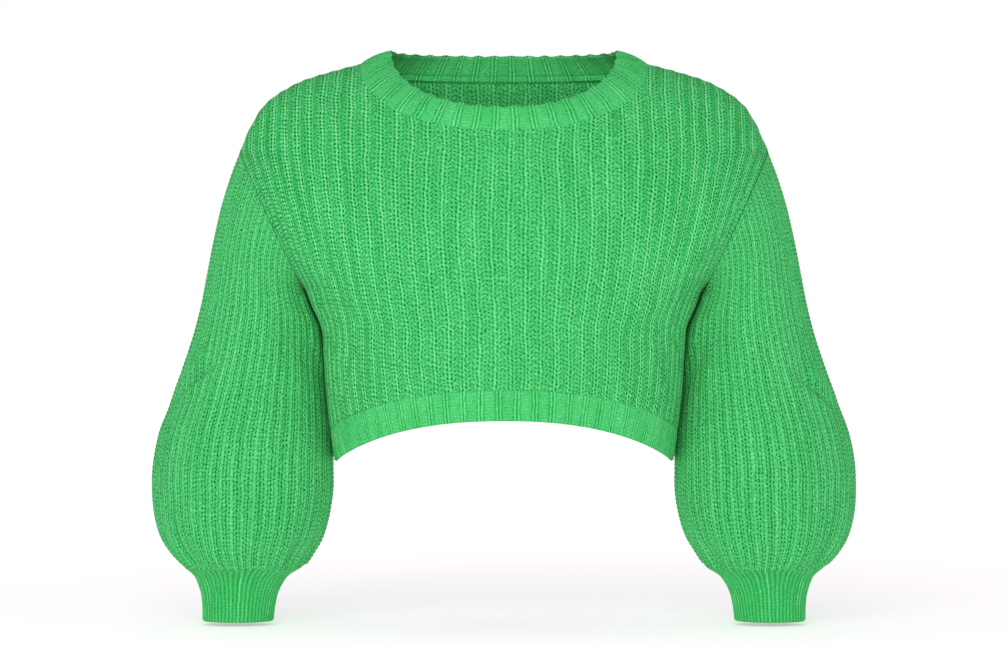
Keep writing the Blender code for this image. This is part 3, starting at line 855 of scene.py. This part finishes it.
def sleeve_turn(ribs):
    """Where each rib lies as a share of a turn: the ribs are wider at the inner front."""
    even = ribs / SLEEVE_RIBS
    crowding = SLEEVE_CROWDING / (2 * np.pi)
    return even + crowding * np.sin(2 * np.pi * (even - WIDEST_SLEEVE_RIB))


def sleeve_cloth(hand, creases):
    """A sleeve's ribs from the cuff seam up to the armhole, and their shares of a turn."""
    ribs = wrapped_columns(SLEEVE_RIBS, SLEEVE_COLUMNS)
    turn = sleeve_turn(ribs)
    share = 1 - np.sin(np.linspace(0, np.pi / 2, CURVE_SAMPLES))
    share, around = np.meshgrid(share, turn, indexing="ij")
    curves = sleeve_points(share, around)
    out = outward_normals(curves, True)
    curves = curves + out * sleeve_creases(1 - share, around, creases)[..., None]
    curves = clear_of_body(curves)
    curves[0, :, 2] = SLEEVE_END + HALF_GAP
    if hand > 0:
        return Cloth(curves, ribs, True)
    return Cloth((curves * [-1, 1, 1])[:, ::-1], ribs[::-1], True)


def cuff_cloth(hand):
    ribs = wrapped_columns(CUFF_RIBS, CUFF_COLUMNS)
    angle = 2 * np.pi * ribs / CUFF_RIBS
    height = np.linspace(CUFF_END, SLEEVE_END - HALF_GAP, CUFF_SAMPLES)
    read = {name: at_height(CUFF_RINGS, name, height)[:, None] for name in CuffRing._fields[1:]}
    out = read["centre"] + read["half_width"] * np.cos(angle)
    back = SLEEVE_RINGS[-1].back_shift + read["half_depth"] * np.sin(angle)
    curves = np.stack([out, back, np.broadcast_to(height[:, None], out.shape)], axis=-1)
    if hand > 0:
        return Cloth(curves, ribs, True)
    return Cloth((curves * [-1, 1, 1])[:, ::-1], ribs[::-1], True)


def still(points, length, ribs):
    return np.zeros(length.shape)


def front_creases(points, length, ribs):
    return body_creases(points, FRONT_CREASES)


def back_creases(points, length, ribs):
    return body_creases(points, BACK_CREASES)


def left_gathers(points, length, ribs):
    return gathers(length, sleeve_turn(ribs), LEFT_GATHERS)


def right_gathers(points, length, ribs):
    return gathers(length, sleeve_turn(ribs), RIGHT_GATHERS)


def linking_folds(points, length, ribs):
    return sum(fold.depth * bump_at(length, fold.up, fold.half_width) for fold in LINKING_FOLDS)


# ---------------------------------------------------------------- yarn


def linear(code):
    """Linear RGBA of an sRGB hex colour."""
    parts = [int(code[k : k + 2], 16) / 255 for k in (1, 3, 5)]
    return [p / 12.92 if p <= 0.04045 else ((p + 0.055) / 1.055) ** 2.4 for p in parts] + [1.0]


def node(tree, kind, inputs=(), output=0, **settings):
    """Adds a node with its settings; inputs are (name or number, value or socket) pairs."""
    made = tree.nodes.new(kind)
    for name, value in settings.items():
        setattr(made, name, value)
    for name, value in inputs:
        if isinstance(value, bpy.types.NodeSocket):
            tree.links.new(value, made.inputs[name])
        else:
            made.inputs[name].default_value = value
    return made.outputs[output]


def worked_out(tree, sockets, steps):
    """Adds one Math node for each (result, operation, values...) step and returns all results."""
    known = dict(sockets)
    for result, operation, *values in steps:
        inputs = [(k, known.get(value, value)) for k, value in enumerate(values)]
        known[result] = node(tree, "ShaderNodeMath", inputs, operation=operation)
    return known


FULL_TURN = 2 * np.pi


def peak(name, place, slope):
    """Steps for a peak of 1 at this place across a rib, straight on each side."""
    return (
        (name, "SUBTRACT", "off", place),
        (name, "ABSOLUTE", name),
        (name, "MULTIPLY_ADD", name, -slope, 1.0),
        (name, "MAXIMUM", name, 0.0),
    )


def flat_part(name, slope, start):
    """Steps for a part that is 0 at the leg and 1 over the rest of a rib."""
    return (
        (name, "MULTIPLY_ADD", "off", slope, start),
        (name, "MINIMUM", name, 1.0),
        (name, "MAXIMUM", name, 0.0),
    )


def wave(name, turns):
    """Steps for a wave that is 1 at each whole number of turns."""
    return (
        (name, "MULTIPLY", turns, FULL_TURN),
        (name, "COSINE", name),
    )


def knit_steps(
    leg, groove, groove_place, hole, dot, inner, inner_place, arch, stray, crown, opening
):
    """Steps from rib and row numbers to the chunky rib's yarn height, 0 in a hole to 1 on top.

    The numbers say how far each part rises or sinks: the leg, the grooves beside it, the holes in
    them, the dots in the wide part and the groove that those dots lie in. Two are the grooves'
    places. The height also sets the colour, so the sunk holes, grooves and dots carry painted
    shade.
    arch bends the rows, stray shifts them from rib to rib, crown lifts the leg's side, and opening
    says how much deeper the stitches get, and how much darker their painted shade, with each rib
    away from the middle of a panel.
    """
    return (
        ("rib", "MULTIPLY_ADD", "drift", 0.22, "rib"),
        ("row", "MULTIPLY_ADD", "streak", stray, "row"),
        ("away", "ABSOLUTE", "rib"),
        ("away", "MULTIPLY_ADD", "away", opening, 1.0),
        ("off", "PINGPONG", "rib", 0.5),
        ("whole", "ROUND", "rib"),
        ("place", "SUBTRACT", "rib", "whole"),
        *peak("leg", 0.0, 12.0),
        *peak("groove", groove_place, 10.5),
        *peak("inner", inner_place, 9.5),
        *flat_part("wide", 10.0, -1.8),
        ("turned", "MULTIPLY_ADD", "drift", 0.9, "row"),
        ("turned", "MULTIPLY_ADD", "place", 1.8, "turned"),
        *wave("beat", "turned"),
        ("hole_beat", "MULTIPLY_ADD", "beat", 0.9, 0.1),
        ("hole_beat", "MAXIMUM", "hole_beat", 0.0),
        ("side", "MULTIPLY_ADD", "sway", "place", 0.8),
        ("hole", "MULTIPLY", "groove", "hole_beat"),
        ("hole", "MULTIPLY", "hole", "side"),
        ("hole", "MULTIPLY", "hole", "away"),
        ("arch", "MULTIPLY", "off", "off"),
        ("arch", "MULTIPLY_ADD", "arch", arch, "row"),
        ("tilt", "MULTIPLY", "place", "sway"),
        ("arch", "MULTIPLY_ADD", "tilt", 0.5, "arch"),
        ("arch", "MULTIPLY_ADD", "drift", 1.1, "arch"),
        *wave("bar", "arch"),
        ("dot_beat", "MULTIPLY_ADD", "bar", 0.95, 0.05),
        ("dot_beat", "MAXIMUM", "dot_beat", 0.0),
        ("dot_size", "MULTIPLY_ADD", "patch", 2.5, 0.9),
        ("dot", "MULTIPLY", "inner", "dot_beat"),
        ("dot", "MULTIPLY", "dot", "dot_size"),
        ("bar", "MULTIPLY", "bar", "wide"),
        ("bead", "MULTIPLY_ADD", "beat", -0.3, 1.0),
        ("leg", "MULTIPLY", "leg", "bead"),
        ("tone", "MULTIPLY_ADD", "off", -crown, crown / 4),
        ("tone", "MULTIPLY", "tone", "away"),
        ("tone", "MULTIPLY", "tone", "away"),
        ("yarn", "MULTIPLY_ADD", "bar", -0.05, "tone"),
        ("yarn", "ADD", "yarn", 0.66),
        ("yarn", "MULTIPLY_ADD", "leg", leg, "yarn"),
        ("yarn", "MULTIPLY_ADD", "groove", groove, "yarn"),
        ("yarn", "MULTIPLY_ADD", "hole", hole, "yarn"),
        ("yarn", "MULTIPLY_ADD", "dot", dot, "yarn"),
        ("yarn", "MULTIPLY_ADD", "inner", inner, "yarn"),
        ("yarn", "MULTIPLY_ADD", "patch", 0.55, "yarn"),
        ("yarn", "MULTIPLY_ADD", "streak", 0.28, "yarn"),
        ("yarn", "MULTIPLY_ADD", "fleck", 0.72, "yarn"),
    )


BODY_STEPS = knit_steps(
    leg=0.09, groove=-0.15, groove_place=0.125, hole=-0.50, dot=-0.44, inner=-0.06,
    inner_place=0.375, arch=-3.5, stray=1.0, crown=0.15, opening=0.08,
)
SLEEVE_STEPS = knit_steps(
    leg=0.0, groove=-0.14, groove_place=0.20, hole=-0.66, dot=-0.86, inner=-0.16,
    inner_place=0.5, arch=-2.2, stray=1.4, crown=0.14, opening=0.0,
)

# Ribbing: two fine lighter ridges, painted shade in the groove between them and beside them, and
# close rows to the next pair.
RIBBING_STEPS = (
    ("rib", "MULTIPLY_ADD", "drift", 0.14, "rib"),
    ("off", "PINGPONG", "rib", 0.5),
    *peak("ridge", 0.095, 16.0),
    *peak("groove", 0.0, 17.0),
    *peak("beside", 0.19, 16.0),
    ("rows", "MULTIPLY_ADD", "drift", 0.8, "row"),
    *wave("rows", "rows"),
    *flat_part("flat", 8.0, -1.3),
    ("rows", "MULTIPLY", "rows", "flat"),
    ("yarn", "MULTIPLY_ADD", "rows", 0.05, 0.62),
    ("yarn", "MULTIPLY_ADD", "ridge", 0.16, "yarn"),
    ("yarn", "MULTIPLY_ADD", "groove", -0.30, "yarn"),
    ("yarn", "MULTIPLY_ADD", "beside", -0.20, "yarn"),
    ("yarn", "MULTIPLY_ADD", "streak", 0.30, "yarn"),
    ("yarn", "MULTIPLY_ADD", "patch", 0.30, "yarn"),
    ("yarn", "MULTIPLY_ADD", "fleck", 0.55, "yarn"),
)

# The cuffs' ribbing is finer: one round wale to a rib, with painted shade between the wales.
CUFF_STEPS = (
    ("rib", "MULTIPLY_ADD", "drift", 0.5, "rib"),
    *wave("wale", "rib"),
    ("rows", "MULTIPLY_ADD", "drift", 0.8, "row"),
    *wave("rows", "rows"),
    ("wale_size", "MULTIPLY_ADD", "streak", 0.6, 0.15),
    ("wale", "MULTIPLY", "wale", "wale_size"),
    ("yarn", "ADD", "wale", 0.53),
    ("yarn", "MULTIPLY_ADD", "rows", 0.02, "yarn"),
    ("yarn", "MULTIPLY_ADD", "streak", 0.32, "yarn"),
    ("yarn", "MULTIPLY_ADD", "patch", 0.25, "yarn"),
    ("yarn", "MULTIPLY_ADD", "fleck", 0.50, "yarn"),
)


def noise(tree, place, scale, detail):
    """Soft noise about 0.5; a larger scale makes it finer."""
    inputs = [("Vector", place), ("Scale", scale), ("Detail", detail)]
    return node(tree, "ShaderNodeTexNoise", inputs)


def yarn_material(name, steps, shades, depth):
    """Brushed acrylic yarn: matt, with a soft halo, and painted shade wherever the stitches sink.

    The steps turn rib and row numbers into the yarn's height, which gives its bump and its colour,
    painted shade where it is low.
    Noises keep the stitches from being all alike: fleck for the brushed fibres, drift and sway for
    how they lean, patch from stitch to stitch and streak from rib to rib.
    """
    material = bpy.data.materials.new(name)
    material.use_nodes = True
    tree = material.node_tree
    shader = tree.nodes["Principled BSDF"]
    uv = node(tree, "ShaderNodeUVMap", uv_map="ribs_and_rows")
    split = node(tree, "ShaderNodeSeparateXYZ", [(0, uv)]).node
    place = node(tree, "ShaderNodeTexCoord", output=3)
    by_stitch = node(tree, "ShaderNodeMapping", [("Vector", uv), ("Scale", (4.5, 1.7, 1.0))])
    by_rib = node(tree, "ShaderNodeMapping", [("Vector", uv), ("Scale", (1.1, 0.05, 1.0))])
    sockets = {
        "rib": split.outputs[0],
        "row": split.outputs[1],
        "fleck_noise": noise(tree, place, 620.0, 2.0),
        "slow_noise": noise(tree, place, 70.0, 1.0),
        "sway_noise": noise(tree, place, 95.0, 0.0),
        "patch_noise": noise(tree, by_stitch, 1.0, 1.0),
        "streak_noise": noise(tree, by_rib, 1.0, 2.0),
    }
    start = (
        ("fleck", "SUBTRACT", "fleck_noise", 0.5),
        ("drift", "SUBTRACT", "slow_noise", 0.5),
        ("patch", "SUBTRACT", "patch_noise", 0.5),
        ("streak", "SUBTRACT", "streak_noise", 0.5),
        ("sway", "MULTIPLY_ADD", "sway_noise", 8.0, -4.0),
    )
    known = worked_out(tree, sockets, start + steps)
    # The ramp paints the low yarn dark: painted shade in the holes and grooves.
    ramp = node(tree, "ShaderNodeValToRGB", [("Fac", known["yarn"])]).node
    ramp.color_ramp.interpolation = "EASE"
    while len(ramp.color_ramp.elements) < len(shades):
        ramp.color_ramp.elements.new(0.5)
    for stop, (position, code) in zip(ramp.color_ramp.elements, shades):
        stop.position = position
        stop.color = linear(code)
    bump = node(
        tree,
        "ShaderNodeBump",
        [("Height", known["yarn"]), ("Distance", depth * MM), ("Strength", 0.9)],
    )
    tree.links.new(ramp.outputs["Color"], shader.inputs["Base Color"])
    tree.links.new(bump, shader.inputs["Normal"])
    shader.inputs["Roughness"].default_value = 0.92
    shader.inputs["IOR"].default_value = 1.5
    shader.inputs["Specular IOR Level"].default_value = 0.16
    shader.inputs["Sheen Weight"].default_value = 0.04
    shader.inputs["Sheen Roughness"].default_value = 0.55
    return material


# Yarn colours from low to high; the dark low stops are painted shade for the holes and grooves.
YARN_SHADES = ((0.05, "#066a24"), (0.34, "#1b9a44"), (0.60, "#43bd66"), (0.88, "#70dd8f"))

body_yarn = yarn_material("brushed_acrylic_rib_knit", BODY_STEPS, YARN_SHADES, 1.2)
sleeve_yarn = yarn_material("brushed_acrylic_loose_rib_knit", SLEEVE_STEPS, YARN_SHADES, 1.2)
band_yarn = yarn_material("brushed_acrylic_ribbing", RIBBING_STEPS, YARN_SHADES, 0.9)
cuff_yarn = yarn_material("brushed_acrylic_cuff_rib", CUFF_STEPS, YARN_SHADES, 0.9)

# ---------------------------------------------------------------- making the pieces

NO_FREE_END = (False, False)
LOWER_END_FREE = (True, False)
UPPER_END_FREE = (False, True)

BODY_KNIT = Knit(knit_relief, KNIT_ROW, 40)
SLEEVE_KNIT = Knit(sleeve_relief, KNIT_ROW, 40)
HEM_KNIT = Knit(ribbing_relief, RIBBING_ROW, 12)
NECK_KNIT = Knit(ribbing_relief, RIBBING_ROW, 36)
CUFF_KNIT = Knit(cuff_relief, RIBBING_ROW, 16)

pieces = {
    "front_panel": cloth_mesh(
        "front_panel_knit", panel_cloth(-1), BODY_KNIT, front_creases, front_creases, NO_FREE_END
    ),
    "back_panel": cloth_mesh(
        "back_panel_knit", panel_cloth(1), BODY_KNIT, back_creases, back_creases, NO_FREE_END
    ),
    "front_hem_rib": cloth_mesh(
        "front_hem_ribbing", hem_cloth(-1), HEM_KNIT, still, still, LOWER_END_FREE
    ),
    "back_hem_rib": cloth_mesh(
        "back_hem_ribbing", hem_cloth(1), HEM_KNIT, still, still, LOWER_END_FREE
    ),
    "neckband": cloth_mesh(
        "neckband_ribbing", neckband_cloth(), NECK_KNIT, still, linking_folds, UPPER_END_FREE
    ),
    "left_sleeve": cloth_mesh(
        "left_sleeve_knit", sleeve_cloth(1, LEFT_CREASES), SLEEVE_KNIT,
        left_gathers, left_gathers, NO_FREE_END,
    ),
    "right_sleeve": cloth_mesh(
        "right_sleeve_knit", sleeve_cloth(-1, RIGHT_CREASES), SLEEVE_KNIT,
        right_gathers, right_gathers, NO_FREE_END,
    ),
    "left_cuff": cloth_mesh(
        "left_cuff_ribbing", cuff_cloth(1), CUFF_KNIT, still, still, LOWER_END_FREE
    ),
    "right_cuff": cloth_mesh(
        "right_cuff_ribbing", cuff_cloth(-1), CUFF_KNIT, still, still, LOWER_END_FREE
    ),
}

# Width, length and area are those of each piece laid flat, in metres.
Finish = namedtuple("Finish", "node material slot width length area held")
FINISHES = (
    Finish("front_panel", body_yarn, "chunky_rib_knit", 0.62, 0.42, 0.19, "hung"),
    Finish("back_panel", body_yarn, "chunky_rib_knit", 0.62, 0.44, 0.20, "hung"),
    Finish("front_hem_rib", band_yarn, "fine_ribbing", 0.47, 0.032, None, "hung"),
    Finish("back_hem_rib", band_yarn, "fine_ribbing", 0.46, 0.032, None, "hung"),
    Finish("neckband", band_yarn, "fine_ribbing", 0.72, 0.034, None, "stretched"),
    Finish("left_sleeve", sleeve_yarn, "chunky_rib_knit", 0.56, 0.47, 0.20, "gathered"),
    Finish("right_sleeve", sleeve_yarn, "chunky_rib_knit", 0.56, 0.47, 0.20, "gathered"),
    Finish("left_cuff", cuff_yarn, "fine_ribbing", 0.27, 0.064, None, "stretched"),
    Finish("right_cuff", cuff_yarn, "fine_ribbing", 0.27, 0.064, None, "stretched"),
)
for finish in FINISHES:
    piece = pieces[finish.node]
    piece.data.materials.append(finish.material)
    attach(piece, "root")
    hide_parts(finish.node)

# ---------------------------------------------------------------- studio

# Everything from here on is in metres.
FLOOR_GAP = 0.004
FLOOR_HALF = 40.0
LIGHT_PLACE = (-0.5, -3.25, 0.9)
LIGHT_AIM = (0.0, 0.0, -0.29)
CAMERA_PLACE = (0.0, -4.0, -0.2856)

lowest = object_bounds()[0].z
corners = [(x * FLOOR_HALF, y * FLOOR_HALF) for x, y in ((-1, -1), (1, -1), (1, 1), (-1, 1))]
floor_mesh = bpy.data.meshes.new("studio_floor")
floor_mesh.from_pydata([(x, y, lowest - FLOOR_GAP) for x, y in corners], [], [(0, 1, 2, 3)])
floor = placed("studio_floor", floor_mesh)

# White paper that glows more with distance, so that it runs into the white behind it.
paper = bpy.data.materials.new("white_studio_paper")
paper.use_nodes = True
sheet = paper.node_tree.nodes["Principled BSDF"]
# The paper's faint pink colour is painted to cancel the green light that the garment bounces into
# the floor's shadows.
sheet.inputs["Base Color"].default_value = linear("#f4eaf2")
sheet.inputs["Roughness"].default_value = 0.9
sheet.inputs["Emission Color"].default_value = linear("#ffffff")
here = node(paper.node_tree, "ShaderNodeTexCoord", output=3)
distance = node(paper.node_tree, "ShaderNodeVectorMath", [(0, here)], output=1, operation="LENGTH")
glow = node(
    paper.node_tree,
    "ShaderNodeMapRange",
    [(0, distance), ("From Min", 0.7), ("From Max", 2.2), ("To Min", 0.46), ("To Max", 0.64)],
)
paper.node_tree.links.new(glow, sheet.inputs["Emission Strength"])
floor_mesh.materials.append(paper)

# White all round, and dimmer overhead, so that the shoulders keep their shade.
world = bpy.data.worlds.new("white_studio")
bpy.context.scene.world = world
world.use_nodes = True
sky = world.node_tree
direction = node(sky, "ShaderNodeTexCoord")
height = node(sky, "ShaderNodeSeparateXYZ", [(0, direction)], output=2)
strength = node(
    sky,
    "ShaderNodeMapRange",
    [(0, height), ("From Min", 0.15), ("From Max", 0.55), ("To Min", 1.0), ("To Max", 0.42)],
    interpolation_type="SMOOTHSTEP",
)
sky.links.new(strength, sky.nodes["Background"].inputs["Strength"])
sky.nodes["Background"].inputs["Color"].default_value = linear("#ffffff")

softbox = bpy.data.lights.new("front_softbox", "AREA")
softbox.size = 2.0
softbox.energy = 48.0
light = placed("front_softbox", softbox)
light.location = LIGHT_PLACE
aim = Vector(LIGHT_AIM) - Vector(LIGHT_PLACE)
light.rotation_euler = aim.to_track_quat("-Z", "Y").to_euler()

camera_data = bpy.data.cameras.new("camera")
camera_data.sensor_width = 36.0
camera_data.lens = 136.05
camera = placed("camera", camera_data)
camera.location = CAMERA_PLACE
camera.rotation_euler = (np.pi / 2, 0.0, 0.0)
bpy.context.scene.camera = camera
bpy.context.scene.view_settings.view_transform = "Standard"
